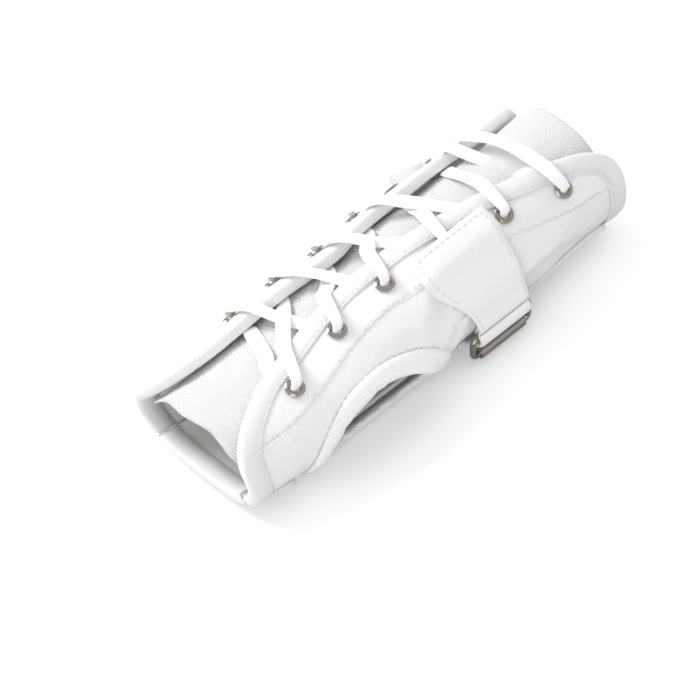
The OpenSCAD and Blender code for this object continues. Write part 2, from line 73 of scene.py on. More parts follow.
# Laces: two flat braided cotton laces, 7 mm wide. Each goes out of an eyelet, across the
# gap and under the other flap, up through its eyelet and back; they meet in a knot.
#
# They lie on the body, the surface that every piece follows: an angle round the section, a
# place along the arm and a height above the shell, in millimetres, as in the CAD part.
# Each station is a place along the arm, half the width, half the height and the angle of the
# eyelets there.
STATIONS = np.array([
    [-112, 41.5, 22, 52], [-78, 42.5, 25, 52], [-40, 44, 27.5, 64], [-10, 42.5, 28, 68],
    [8, 41, 29, 62], [46, 40, 29.5, 52], [83, 36, 31, 33], [112, 36.5, 33.5, 23]])
X_SHIFT = -0.15  # puts the whole part's middle on the origin
HALF_LENGTH = 112
SEAM = -38  # angle of the long seams
EDGE_MARGIN = 13.2  # from an eyelet's middle to the flap's opening edge
ULNAR_DROP = 33  # how far the little finger side's edge is drawn towards its seam


def at(y, column):
    """A column of the stations at the place y, on a smooth curve through them."""
    place, value = STATIONS[:, 0], STATIONS[:, column]
    slopes = np.array([(value[min(i + 1, 7)] - value[max(i - 1, 0)])
                       / (place[min(i + 1, 7)] - place[max(i - 1, 0)]) for i in range(8)])
    i = np.clip(np.searchsorted(place, y, side="right") - 1, 0, 6)
    w = place[i + 1] - place[i]
    t = (y - place[i]) / w
    return ((2 * t**3 - 3 * t**2 + 1) * value[i] + (t**3 - 2 * t**2 + t) * w * slopes[i]
            + (3 * t**2 - 2 * t**3) * value[i + 1] + (t**3 - t**2) * w * slopes[i + 1])


def smooth(t):
    """A soft step from 0 to 1."""
    k = np.clip(t, 0, 1)
    return k * k * (3 - 2 * k)


def base(y):
    """How far the palm side is off the table: it lifts at the fingers and at the wrist."""
    return (6 * (np.maximum(-60 - y, 0) / 52)**2
            + 2.2 * smooth((y + 8) / 18) * (1 - smooth((y - 46) / 30))
            + 1.4 * smooth((y - 46) / 30))


def turned(a, side):
    """The little finger side's angles are drawn in towards its seam."""
    return a - (ULNAR_DROP * (a - SEAM) / (90 - SEAM) if side < 0 else 0)


def body(a, y, off, side=1):
    """Points in metres; side -1 mirrors them to the little finger side."""
    a, y, off = np.broadcast_arrays(np.asarray(a, float), np.asarray(y, float),
                                    np.asarray(off, float))
    r = np.radians(turned(a, side))
    x = X_SHIFT + side * (at(y, 1) + off) * np.cos(r)
    low = base(y) - off
    z = base(y) + at(y, 2) - 1.6 + (at(y, 2) + off) * np.sin(r)
    z = np.where(z - low > 6, z, low + np.log1p(np.exp(np.minimum(z - low, 30))))
    return np.stack([x, y, z], -1) * MM


def arc_mm(a, y, side=1):
    """Millimetres round the section in one degree."""
    r = np.radians(turned(a, side))
    share = 1 - ULNAR_DROP / (90 - SEAM) if side < 0 else 1
    return np.hypot(at(y, 1) * np.sin(r), at(y, 2) * np.cos(r)) * math.pi / 180 * share


def open_angle(y, side=1):
    """The angle of a flap's opening edge."""
    return at(y, 3) + EDGE_MARGIN / arc_mm(at(y, 3), y, side)


def finish_mesh(name, points, faces, uv, materials):
    """Points in metres, with a UV map in millimetres of cloth."""
    mesh = bpy.data.meshes.new(name)
    mesh.from_pydata([tuple(p) for p in points], [], faces)
    layer = mesh.uv_layers.new(name="cloth_mm")
    index = np.empty(len(mesh.loops), int)
    mesh.loops.foreach_get("vertex_index", index)
    layer.data.foreach_set("uv", np.asarray(uv, float)[index].ravel())
    mesh.polygons.foreach_set("use_smooth", [True] * len(mesh.polygons))
    for m in materials:
        mesh.materials.append(m)
    mesh.validate()
    mesh.update()
    made = bpy.data.objects.new(name, mesh)
    bpy.context.collection.objects.link(made)
    return made


def smooth_route(points, step):
    """A smooth curve through the points, sampled every step, for any number of columns."""
    points = np.asarray(points, float)
    ends = [2 * points[0] - points[1], *points, 2 * points[-1] - points[-2]]
    out = []
    for p0, p1, p2, p3 in zip(ends, ends[1:], ends[2:], ends[3:]):
        count = max(2, int(np.linalg.norm((p2 - p1)[:3]) / step))
        for t in np.arange(count) / count:
            out.append(0.5 * (2 * p1 + (p2 - p0) * t + (2 * p0 - 5 * p1 + 4 * p2 - p3) * t**2
                              + (3 * p1 - p0 - 3 * p2 + p3) * t**3))
    return np.array(out + [points[-1]])


def unit(v):
    return v / np.linalg.norm(v, axis=-1, keepdims=True)


def ribbon(name, route, materials, squareness=3.2):
    """route has columns x, y, z, width direction x, y, z, half width, half thickness in mm."""
    sides = 16
    centre, half = route[:, :3], route[:, 6:8]
    along = unit(np.gradient(centre, axis=0))
    wide = route[:, 3:6] - (route[:, 3:6] * along).sum(1, keepdims=True) * along
    wide = unit(wide)
    thick = np.cross(wide, along)
    turn = (np.arange(sides) + 0.5) * 2 * math.pi / sides
    c, s = np.cos(turn), np.sin(turn)
    c, s = (np.sign(v) * np.abs(v)**(2 / squareness) for v in (c, s))
    rings = (centre[:, None] + wide[:, None] * (c * half[:, :1])[..., None]
             + thick[:, None] * (s * half[:, 1:])[..., None])
    m = len(route)
    faces = [(k * sides + i, k * sides + (i + 1) % sides, (k + 1) * sides + (i + 1) % sides,
              (k + 1) * sides + i) for k in range(m - 1) for i in range(sides)]
    faces += [tuple(range(sides))[::-1], tuple((m - 1) * sides + i for i in range(sides))]
    length = np.concatenate([[0], np.linalg.norm(np.diff(centre, axis=0), axis=1).cumsum()])
    uv = np.stack(np.broadcast_arrays(c * half[:, :1], length[:, None]), -1).reshape(-1, 2)
    return finish_mesh(name, rings.reshape(-1, 3) * MM, faces, uv, materials)


def linear(hex_colour):
    """An sRGB hex colour as linear values."""
    channels = [int(hex_colour[i:i + 2], 16) / 255 for i in (1, 3, 5)]
    return tuple(c / 12.92 if c <= 0.04045 else ((c + 0.055) / 1.055)**2.4
                 for c in channels) + (1,)


def add(tree, kind, inputs=(), **settings):
    """Adds a node; inputs maps its sockets to values or to other nodes' output sockets."""
    made = tree.nodes.new(kind)
    for key, value in settings.items():
        setattr(made, key, value)
    for socket, value in dict(inputs).items():
        if isinstance(value, bpy.types.NodeSocket):
            tree.links.new(value, made.inputs[socket])
        else:
            made.inputs[socket].default_value = value
    return made


def maths(tree, operation, *values):
    """The output of one sum."""
    return add(tree, "ShaderNodeMath", enumerate(values), operation=operation).outputs[0]


def stripes(tree, coordinate, pitch):
    """A wave from -1 to 1 along a coordinate in millimetres."""
    return maths(tree, "SINE", maths(tree, "MULTIPLY", coordinate, 2 * math.pi / pitch))


def cloth_axes(tree):
    """The cloth's own millimetres: the vector, across and along."""
    uv = add(tree, "ShaderNodeUVMap", uv_map="cloth_mm").outputs[0]
    parts = add(tree, "ShaderNodeSeparateXYZ", {0: uv})
    return uv, parts.outputs[0], parts.outputs[1]


def cloth_material(name, colour, pattern, depth, rough=0.9, sheen=0.25, fibre=0.35):
    """depth is the pattern's height in mm and fibre scales the fuzz.

    The fuzz is about 0.4 mm across and the faint soiling about 20 mm. The pattern's hollows are
    painted a little darker and its high points lighter, as painted shade.
    """
    tint = 0.02
    made = bpy.data.materials.new(name)
    made.use_nodes = True
    tree = made.node_tree
    shader = tree.nodes["Principled BSDF"]
    place = add(tree, "ShaderNodeTexCoord").outputs["Object"]
    height = pattern(tree)
    fuzz = add(tree, "ShaderNodeTexNoise", {"Vector": place, "Scale": 2600, "Detail": 3.0})
    mixed = maths(tree, "ADD", height, maths(tree, "MULTIPLY", fuzz.outputs[0], fibre * 2))
    bump = add(tree, "ShaderNodeBump", {"Height": mixed, "Distance": depth * MM,
                                        "Strength": 1.0})
    soil = add(tree, "ShaderNodeTexNoise", {"Vector": place, "Scale": 45, "Detail": 4.0})
    # Colour: painted shade, with the pattern's high points lighter and its hollows darker, plus
    # faint real soiling
    shade = maths(tree, "ADD", maths(tree, "MULTIPLY", height, 0.012),
                  maths(tree, "MULTIPLY", soil.outputs[0], tint))
    tone = add(tree, "ShaderNodeHueSaturation", {
        "Color": linear(colour), "Value": maths(tree, "ADD", shade, 1 - tint)})
    tree.links.new(tone.outputs[0], shader.inputs["Base Color"])
    tree.links.new(bump.outputs[0], shader.inputs["Normal"])
    shader.inputs["Roughness"].default_value = rough
    shader.inputs["Sheen Weight"].default_value = sheen
    shader.inputs["Sheen Roughness"].default_value = 0.5
    shader.inputs["Specular IOR Level"].default_value = 0.25
    return made


def braid(tree):
    """Chevrons of a flat braid, drawn at its real 1.6 mm plait."""
    _, u, v = cloth_axes(tree)
    folded = maths(tree, "ADD", v, maths(tree, "MULTIPLY", maths(tree, "ABSOLUTE", u), 0.9))
    return maths(tree, "ADD", maths(tree, "MULTIPLY", stripes(tree, u, 1.17), 0.4),
                 stripes(tree, folded, 1.6))


# Bleached cotton: the whitest piece, matt, with the braid only just visible
lace_cotton = cloth_material("lace_braided_cotton", "#fdfdfd", braid, 0.035, fibre=0.2)
LACE_W, LACE_T = 7, 1.1
UNDER = -6.9 + 0.6 + LACE_T / 2
OVER = 0.25 + 1 + 0.8 + LACE_T / 2


def eyelet_y(side, i):
    """The place of eyelet i; the little finger side's row is at a closer pitch."""
    return -71 + 30.8 * i if side > 0 else -58 + 24 * i


def side_pt(side, a, y, off):
    """A point on the body, in millimetres."""
    return body(a, y, off, side) / MM


def ring(point, wide, half_w, half_t=LACE_T / 2):
    """One row of a ribbon's route."""
    return [*point, *wide, half_w, half_t]


def hole(side, i, off):
    """The lace bunched up inside an eyelet."""
    y = eyelet_y(side, i)
    return ring(side_pt(side, at(y, 3), y, off), (0, 1, 0), 2.1, 1.25)


def normal(side, a, y):
    """The direction straight out of the body."""
    r = np.radians(turned(a, side))
    return unit(np.array([side * np.cos(r) * at(y, 2), 0, np.sin(r) * at(y, 1)]))


def laid(side, a, y, wide):
    """The direction wide laid flat on the surface."""
    n = normal(side, a, y)
    return np.array(wide) - np.dot(wide, n) * n


def crossing(side, i, j, lift):
    """One run: up through eyelet i, over its flap and under the other flap to eyelet j."""
    y0, y1 = eyelet_y(side, i), eyelet_y(-side, j)
    e0, e1 = open_angle(y0, side), open_angle(y1, -side)
    step = (y1 - y0) * 0.22
    p0 = side_pt(side, at(y0, 3) + 3.5, y0 + step * 0.25, OVER + 2.0)
    p1 = side_pt(side, e0 + 2, y0 + step, OVER + 0.6)
    p3 = side_pt(-side, e1 + 4, y1 - step, UNDER)
    p4 = side_pt(-side, e1 - 8, y1 - step * 0.5, UNDER)
    d = unit(np.array([p3[0] - p1[0], p3[1] - p1[1]]))
    wide = (d[1], -d[0], 0) if d[0] < 0 else (-d[1], d[0], 0)
    mid = (p1 + p3) / 2 + (0, 0, lift)
    twist = 0.16 * math.sin(7.3 * i + 2.1 * side)
    tilted = (wide[0], wide[1], twist)
    full = LACE_W / 2
    return [hole(side, i, -5.3), hole(side, i, 1.6), ring(p0, wide, full - 1, 0.75),
            ring(p1, laid(side, e0 + 2, y0 + step, wide), full),
            ring((p1 + mid) / 2 + (0, 0, 0.5), tilted, full), ring(mid, tilted, full),
            ring((mid + p3) / 2 - (0, 0, 0.2), wide, full),
            ring(p3, laid(-side, e1 + 4, y1 - step, wide), full),
            ring(p4, laid(-side, e1 - 8, y1 - step / 2, wide), full - 1.2)]


def on_flap(a, y, off, turn, half_w=LACE_W / 2):
    """A row lying on the little finger side's flap, turned in degrees from the arm's axis."""
    n = normal(-1, a, y)
    round_arm = np.array([n[2], 0, n[0]])
    turn = math.radians(turn)
    wide = math.sin(turn) * round_arm + (0, math.cos(turn), 0)
    return ring(side_pt(-1, a, y, off), wide, half_w)


KNOT_A, KNOT_Y = 30, 68
top_y = eyelet_y(1, 5)
strand_a = [r for i in range(5) for r in crossing(1 if i % 2 == 0 else -1, i, i + 1, 1.1)]
strand_a += crossing(-1, 5, 5, -1)
strand_a += [hole(1, 5, -5.3), hole(1, 5, 1.6),
             ring(side_pt(1, at(top_y, 3) + 4, top_y - 0.5, 4.2), (0.2, 1, 0), 2.7, 0.75),
             ring(side_pt(1, open_angle(top_y), top_y - 2, 3.2), (0.2, 1, 0), 3.5),
             ring(body(90, top_y - 5, 2.6) / MM, (0.2, 1, 0), 3.5),
             on_flap(open_angle(76, -1) + 4, 76, 3.4, -12), on_flap(48, 73.5, 3.4, -14),
             on_flap(KNOT_A + 10, KNOT_Y + 2, 3.6, -10)]
y0, y1 = eyelet_y(1, 0), eyelet_y(-1, 0)
bar = (0.15, 1, 0)
strand_b = [ring(side_pt(1, at(y0, 3), y0, UNDER), bar, 2.4),
            ring(side_pt(1, open_angle(y0) - 3, y0, UNDER), bar, 3.5),
            ring(side_pt(1, open_angle(y0) + 8, y0 + 1, UNDER + 0.3), bar, 3.5),
            ring(body(90, (y0 + y1) / 2 - 2, UNDER + 0.8) / MM, bar, 3.5),
            ring(side_pt(-1, open_angle(y1, -1) + 5, y1 - 2, UNDER), bar, 3.5),
            ring(side_pt(-1, open_angle(y1, -1) - 8, y1 - 1, UNDER), bar, 2.4)]
strand_b += [r for i in range(4) for r in crossing(-1 if i % 2 == 0 else 1, i, i + 1, -1.1)]
strand_b += [hole(-1, 4, -5.3), hole(-1, 4, 1.6), on_flap(at(38, 3) - 3, 41, 4.2, 60),
             on_flap(46, 50, 3.4, 70), on_flap(40, 56, 3.4, 70),
             on_flap(KNOT_A + 6, KNOT_Y - 6, 3.6, 60)]
for name, strand in (("lace_strand_a", strand_a), ("lace_strand_b", strand_b)):
    lace = ribbon(name + "_braid", smooth_route(strand, 1.2), [lace_cotton])
    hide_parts(name)
    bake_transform(lace)


# Lace ends: the knot, the two free ends that hang down the little finger side, and the
# clear heat-shrunk tips on them.
TAIL_UP = [[27, 70, 45], [20, 78, 38], [12, 85, 30], [3, 91, 22], [-7, 95, 12],
           [-17, 97, 4], [-25, 98, 0]]
TAIL_DOWN = [[26, 66, -45], [18, 58.5, -40], [9, 51, -35], [-1, 45, -28], [-11, 41, -18],
             [-20, 38.5, -10], [-26, 37.5, -6]]
tip_film = bpy.data.materials.new("tip_clear_film")
tip_film.use_nodes = True
tree = tip_film.node_tree
film = tree.nodes["Principled BSDF"]
grain = add(tree, "ShaderNodeTexNoise", {"Scale": 900, "Detail": 2.0})
creases = add(tree, "ShaderNodeBump", {"Height": grain.outputs[0], "Distance": 0.0001})
tree.links.new(creases.outputs[0], film.inputs["Normal"])
film.inputs["Base Color"].default_value = linear("#e6e9ec")
film.inputs["Roughness"].default_value = 0.22
film.inputs["Transmission Weight"].default_value = 0.35
for label, tail in (("up", TAIL_UP), ("down", TAIL_DOWN)):
    hand_points = [on_flap(a, y, 2, turn, 2.9) for a, y, turn in tail]
    route = smooth_route(hand_points, 1.2)
    end = ribbon("lace_end_" + label, route, [lace_cotton])
    a, y = tail[-1][:2]
    lean = 0.4 if y > KNOT_Y else -1
    tip = ribbon("lace_tip_" + label, smooth_route(
        [ring(side_pt(-1, a - 1 - i * 2.4, y + lean * i / 2, 2.6), (0, 1, 0), 1.5, 1.1)
         for i in range(4)], 1), [tip_film], squareness=2)
    path = route[:, :3] * MM
    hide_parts("lace_tails")
    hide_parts("aglets")
    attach(end, "ulnar_flap")
    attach(tip, "ulnar_flap")
turns = np.linspace(0, 2 * math.pi, 60)
knot_mid = side_pt(-1, KNOT_A, KNOT_Y + 1, 4.4)
knot_out = unit(np.array([-1, 0, 1.2]))
knot_side = np.array([0, 1, 0])
knot_up = np.cross(knot_out, knot_side)
loops = [ring(knot_mid + knot_side * 3.6 * math.sin(t) + knot_up * 3.2 * math.sin(2 * t)
              + knot_out * 1.1 * math.cos(3 * t), knot_out * math.cos(t) + knot_side * 0.6,
              2.3, 0.7) for t in turns]
knot = ribbon("lace_knot_braid", np.array(loops), [lace_cotton])
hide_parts("lace_knot")
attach(knot, "ulnar_flap")


# Shell panels: three pieces of plain woven cotton duck, 1.2 mm thick, sewn into a tube that
# is open over the back. The cloth has soft folds beside the thumb and the strap.
THUMB_Y, THUMB_HALF = -41, 35
# By side, where a flap's straight edge ends, how far its end is cut back and over what angle
CORNER_D = {1: (-73, 36, 68), -1: (-77, 34, 35)}
CORNER_P = {1: (83.5, 32, 51), -1: (76.5, 38, 51)}


def distal_y(a, side=1):
    """The flap's end at the fingers."""
    y, cut, span = CORNER_D[side]
    return -HALF_LENGTH + cut * np.maximum((a - open_angle(y, side) + span) / span, 0)**3


def proximal_y(a, side=1):
    """The flap's end at the forearm."""
    y, cut, span = CORNER_P[side]
    return HALF_LENGTH - cut * np.maximum((a - open_angle(y, side) + span) / span, 0)**3


def thumb_reach(y, grow):
    """The thumb opening's outline: 1 at its middle, 0 past its ends."""
    t = (np.asarray(y, float) - THUMB_Y) / (THUMB_HALF + grow)
    return np.sqrt(np.maximum(1 - t * t, 0))


def grid_solid(name, outer, inner, uv, materials):
    """outer and inner are (rows, columns, 3); the solid between them is closed all round."""
    m, n = outer.shape[:2]
    s = m * n
    i, j = (g.ravel() for g in np.meshgrid(np.arange(m - 1), np.arange(n - 1), indexing="ij"))
    k = i + 1
    quads = [np.stack([i * n + j, i * n + j + 1, k * n + j + 1, k * n + j], 1),
             np.stack([s + i * n + j, s + k * n + j, s + k * n + j + 1, s + i * n + j + 1], 1)]
    i = np.arange(m - 1)
    k = i + 1
    quads += [np.stack([i * n, k * n, s + k * n, s + i * n], 1),
              np.stack([i * n + n - 1, s + i * n + n - 1, s + k * n + n - 1, k * n + n - 1], 1)]
    j, r = np.arange(n - 1), (m - 1) * n
    quads += [np.stack([j, s + j, s + j + 1, j + 1], 1),
              np.stack([r + j, r + j + 1, s + r + j + 1, s + r + j], 1)]
    quads = np.concatenate(quads)[:, ::-1]
    points = np.concatenate([outer.reshape(-1, 3), inner.reshape(-1, 3)])
    uv = uv.reshape(-1, 2)
    return finish_mesh(name, points, quads.tolist(), np.concatenate([uv, uv]), materials)


def plain_weave(tree, across_pitch, along_pitch):
    """Warp over weft and weft over warp: the product of two waves, plus the yarns' roundness."""
    _, u, v = cloth_axes(tree)
    crossing = maths(tree, "MULTIPLY", stripes(tree, u, 2 * across_pitch),
                     stripes(tree, v, 2 * along_pitch))
    yarns = maths(tree, "ADD", maths(tree, "ABSOLUTE", stripes(tree, u, 2 * across_pitch)),
                  maths(tree, "ABSOLUTE", stripes(tree, v, 2 * along_pitch)))
    return maths(tree, "ADD", crossing, yarns)


def duck(tree):
    """Plain weave, drawn at 0.62 mm between yarns, a little coarser than the real 0.5 mm."""
    return plain_weave(tree, 0.62, 0.62)


# Bleached duck: matt, with a fine even grain
duck_white = cloth_material("cotton_duck_white", "#f5f5f6", duck, 0.05)
CLOTH_PER_DEGREE = 0.62  # mm of cloth in a degree round the section
# Folds: angle, place along the arm, direction from the arm's axis, length, width, height in mm
FOLDS = [(8, 2, 35, 26, 4, 1.3), (-4, 8, 50, 22, 3.4, 1.0), (-14, -2, 20, 18, 3, 0.8),
         (22, -10, 60, 24, 4.5, 0.9), (30, 4, 75, 20, 3.5, -0.8), (2, 62, -8, 40, 4.5, 1.3),
         (-14, 66, -14, 34, 4, -1.0), (10, 78, 12, 26, 4, 0.8), (-26, 60, 0, 30, 3.5, 0.9),
         (30, -84, 20, 22, 5, 0.6), (6, -96, -30, 20, 4, -0.7), (38, 52, 10, 20, 3, 0.6)]


def fold_height(a, y, side=1):
    """How far the folds lift the cloth, in mm; the two sides have different folds."""
    lift = np.zeros(np.broadcast(a, y).shape)
    for fa, fy, turn, length, width, height in FOLDS:
        fy = fy if side > 0 else -fy * 0.8 - 6
        turn = math.radians(turn if side > 0 else -turn * 1.3)
        s, t = (a - fa) * CLOTH_PER_DEGREE, y - fy
        along = t * math.cos(turn) + s * math.sin(turn)
        across = -t * math.sin(turn) + s * math.cos(turn) + along**2 / (3 * length)
        lift = lift + height * np.exp(-(across / width)**2 - (along / length)**2 * 2)
    return lift


def ripple(a, y, scale, seed):
    """Smooth random waves, scale millimetres long."""
    out = np.empty(np.broadcast(a, y).shape)
    aa, yy = np.broadcast_arrays(a, y)
    for index in np.ndindex(out.shape):
        out[index] = noise.noise((aa[index] * CLOTH_PER_DEGREE / scale, yy[index] / scale, seed))
    return out


def cloth_lift(a, y, side=1):
    """Folds and waves together, fading out where the cloth is sewn down."""
    calm = smooth((a - SEAM) / 14) * smooth((open_angle(np.clip(y, -77, 83), side) - a - 12) / 22)
    ends = smooth((112 - np.abs(y)) / 14)
    thumb = smooth((1 - thumb_reach(y, 12)) * 3 + np.maximum(a - 24, 0) / 16) if side > 0 else 1
    waves = 0.5 * ripple(a, y, 17, 3.0 + side) + 0.22 * ripple(a, y, 6, 8.0 + side)
    return (fold_height(a, y, side) + waves) * calm * ends * np.clip(thumb, 0, 1)


def flap_grid(lo, side, rows=170, cols=64):
    """Angles and places of a flap's grid points, from the seam to the opening edge."""
    yn = np.linspace(-HALF_LENGTH, HALF_LENGTH, rows)[:, None]
    u = np.linspace(0, 1, cols)[None, :]
    k = (yn + HALF_LENGTH) / (2 * HALF_LENGTH)
    a0 = lo(yn) + (open_angle(yn, side) - lo(yn)) * u
    y0 = distal_y(a0, side) * (1 - k) + proximal_y(a0, side) * k
    a = lo(yn) + (open_angle(y0, side) - lo(yn)) * u
    y = distal_y(a, side) * (1 - k) + proximal_y(a, side) * k
    return a, y, cloth_lift(a, y, side)


def flap_lo(side):
    """A flap's lower edge: its seam, and on the thumb side the thumb opening."""
    if side > 0:
        return lambda y: SEAM + 0.5 + 54 * thumb_reach(y, 2)
    return lambda y: SEAM + 0.5 + 0 * y


def layer(name, grid, side, top, bottom, material):
    """One layer of a flap, between two heights."""
    a, y, lift = grid
    uv = np.stack([a * CLOTH_PER_DEGREE, y], -1)
    return grid_solid(name, body(a, y, top + lift, side)[::side],
                      body(a, y, bottom + lift, side)[::side], uv[::side], [material])


flap_grids = {side: flap_grid(flap_lo(side), side) for side in (1, -1)}


radial_shell = layer("radial_panel_duck", flap_grids[1], 1, 0, -1.2, duck_white)
ulnar_shell = layer("ulnar_panel_duck", flap_grids[-1], -1, 0, -1.2, duck_white)
palm_y = np.linspace(-HALF_LENGTH, HALF_LENGTH, 160)[:, None]
palm_hi = SEAM - 0.5 - 13 * thumb_reach(palm_y, 2)
palm_lo = -180 - SEAM + 0.5
palm_a = palm_lo + (palm_hi - palm_lo) * np.linspace(0, 1, 60)[None, :]
palm_y = palm_y + 0 * palm_a
palm_lift = 0.12 * ripple(palm_a, palm_y, 9, 5)
palm_uv = np.stack([palm_a * CLOTH_PER_DEGREE, palm_y], -1)
volar_shell = grid_solid("volar_panel_duck", body(palm_a, palm_y, palm_lift),
                         body(palm_a, palm_y, palm_lift - 1.2), palm_uv, [duck_white])
for piece, node, flat in ((radial_shell, "radial_panel", (0.070, 0.222)),
                          (ulnar_shell, "ulnar_panel", (0.056, 0.222)),
                          (volar_shell, "volar_panel", (0.072, 0.224))):
    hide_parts(node)
for piece in (radial_shell, volar_shell):
    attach(piece, "splint")
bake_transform(ulnar_shell)


# Linings: a napped cotton flannel, 1.8 mm, loose behind the shell and quilted to it at the
# seams; the palm side's lining lies under the stay.
def nap(tree):
    place, _, _ = cloth_axes(tree)
    tufts = add(tree, "ShaderNodeTexNoise", {"Vector": place, "Scale": 1.6, "Detail": 4.0})
    return maths(tree, "MULTIPLY", tufts.outputs[0], 2)


# Napped cotton flannel: warm white with a soft fuzzy rim and no highlight
flannel = cloth_material("lining_flannel", "#ebe8e2", nap, 0.25, rough=0.97, sheen=0.5,
                         fibre=0.8)
radial_soft = layer("radial_lining_flannel", flap_grids[1], 1, -1.4, -3.2, flannel)
ulnar_soft = layer("ulnar_lining_flannel", flap_grids[-1], -1, -1.4, -3.2, flannel)
volar_soft = grid_solid("volar_lining_flannel", body(palm_a, palm_y, palm_lift - 3.2),
                        body(palm_a, palm_y, palm_lift - 5), palm_uv, [flannel])
for piece, node in ((radial_soft, "radial_lining"), (ulnar_soft, "ulnar_lining"),
                    (volar_soft, "volar_lining")):
    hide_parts(node)
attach(radial_soft, "splint")
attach(volar_soft, "splint")
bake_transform(ulnar_soft)


# Stitches: short raised threads along a row, each a small spindle laid on the cloth.
# Polyester thread: a little greyer and shinier than the cloth
thread_white = cloth_material("thread_polyester_white", "#f0f0f3",
                              lambda tree: stripes(tree, cloth_axes(tree)[1], 0.4), 0.03,
                              rough=0.6, fibre=0.1)


SECTION_MIDDLE = 30  # height of the section's middle, that threads face away from


def stitches(name, route, length=2.2, gap=0.8, zigzag=0, side=1):
    """route is rows of angle, place and height; one thread every length + gap mm."""
    points = body(route[:, 0], route[:, 1], route[:, 2], side) / MM
    run = np.concatenate([[0], np.linalg.norm(np.diff(points, axis=0), axis=1).cumsum()])
    verts, faces, sides, radius = [], [], 6, 0.2
    turn = np.arange(sides) * 2 * math.pi / sides
    for n, s in enumerate(np.arange(0.5, run[-1] - length, length + gap)):
        ends = [np.array([np.interp(x, run, points[:, c]) for c in range(3)])
                for x in (s, s + length)]
        along = unit(ends[1] - ends[0])
        out = np.array([ends[0][0], 0, ends[0][2] - SECTION_MIDDLE])
        out = unit(out - out.dot(along) * along)
        flat = np.cross(along, out)
        ends[0] = ends[0] + flat * zigzag * (1 if n % 2 else -1)
        ends[1] = ends[1] - flat * zigzag * (1 if n % 2 else -1)
        start = len(verts)
        for t, r in ((0, 0.35), (0.2, 1), (0.5, 1.15), (0.8, 1), (1, 0.35)):
            mid = ends[0] * (1 - t) + ends[1] * t + out * radius * (math.sin(math.pi * t) - 0.3)
            verts += [mid + (out * math.sin(q) + flat * math.cos(q)) * r * radius for q in turn]
        faces += [[start + k * sides + i, start + k * sides + (i + 1) % sides,
                   start + (k + 1) * sides + (i + 1) % sides, start + (k + 1) * sides + i]
                  for k in range(4) for i in range(sides)]
        faces += [[start + i for i in range(sides)][::-1],
                  [start + 4 * sides + i for i in range(sides)]]
    uv = [(0.2 * i, 0.2 * i) for i in range(len(verts))]
    made = finish_mesh(name, np.array(verts) * MM, faces, uv, [thread_white])
    return made


# Eyestays: a second layer of duck under each row of eyelets, from the binding to a zigzag
# row 24 mm from the opening edge. It runs under the bindings at both ends.
EYESTAY_W, BINDING_W = 24, 8.5


def eyestay_lo(side):
    """The eyestay's lower edge."""
    return lambda y: open_angle(y, side) - EYESTAY_W / arc_mm(at(y, 3), y, side)


for side, body_name in ((1, "splint"), (-1, "ulnar_flap")):
    label = "radial" if side > 0 else "ulnar"
    a, y, lift = flap_grid(eyestay_lo(side), side, rows=170, cols=40)
    from_edge = np.linspace(EYESTAY_W, 0, 40)[None, :]
    eyelet = np.array([eyelet_y(side, i) for i in range(6)])
    aside = (a - at(y, 3)) * CLOTH_PER_DEGREE
    dimples = sum(np.exp(-((y - e) / 6)**2 - (aside / 6)**2) for e in eyelet)
    height = (0.14 + 0.4 * smooth((from_edge - BINDING_W + 1) / 2)
              * smooth((EYESTAY_W - from_edge) / 2.5) - 0.12 * np.clip(dimples, 0, 1))
    uv = np.stack([a * CLOTH_PER_DEGREE, y], -1)
    band = grid_solid(label + "_eyestay_duck", body(a, y, height + lift, side)[::side],
                      body(a, y, 0.02 + lift, side)[::side], uv[::side], [duck_white])
    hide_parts(label + "_eyestay")
    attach(band, body_name)
    row_y = np.linspace(-98, 101, 140)
    row_a = eyestay_lo(side)(row_y) + 1
    row = stitches(label + "_eyestay_stitches",
                   np.stack([row_a, row_y, cloth_lift(row_a, row_y, side) + 0.42], 1),
                   length=2.6, gap=0.5, zigzag=0.6, side=side)
    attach(row, body_name)


# Bindings: 17 mm woven tape folded in half over every raw edge and sewn through, with a
# row of lockstitches near its inner edge.
def twill(tree):
    """Fine diagonal ribs of twill tape, 0.7 mm apart."""
    _, u, v = cloth_axes(tree)
    slant = maths(tree, "ADD", u, v)
    return maths(tree, "ADD", stripes(tree, slant, 0.7),
                 maths(tree, "MULTIPLY", stripes(tree, v, 0.55), 0.5))


# Twill tape: a fine diagonal rib, as matt as the duck
tape_white = cloth_material("binding_twill_tape", "#f4f4f6", twill, 0.05, fibre=0.25)
FOLDED = [(8.6, 0.3), (8.4, 1.1), (7.4, 1.15), (6.8, 0.95), (6.2, 1.2), (4, 1.35), (1.6, 1.4),
          (0, 1.3), (-0.9, 0.75), (-1.2, -0.8), (-1.2, -2.4), (-0.9, -3.7), (0.2, -4.4),
          (3, -4.6), (8.5, -4.5)]
FOLDED_IN = [(8.3, 0.2), (8.1, 0.25), (7.4, 0.25), (6.8, 0.25), (6.2, 0.25), (4, 0.25),
             (1.6, 0.25), (0.2, 0.2), (-0.2, 0.1), (-0.3, -0.8), (-0.3, -2.4), (-0.2, -3.2),
             (0.2, -3.45), (3, -3.45), (8.4, -3.45)]


def stepped(path, step_in, loop=False, side=1):
    """The path moved step_in mm to its left, in angle and place."""
    if loop:
        d = np.roll(path, -1, 0) - np.roll(path, 1, 0)
    else:
        d = np.gradient(path, axis=0)
    k = arc_mm(path[:, 0], path[:, 1], side)
    d = unit(np.stack([d[:, 0] * k, d[:, 1]], 1))
    return np.stack([path[:, 0] - d[:, 1] * step_in / k, path[:, 1] + d[:, 0] * step_in], 1)


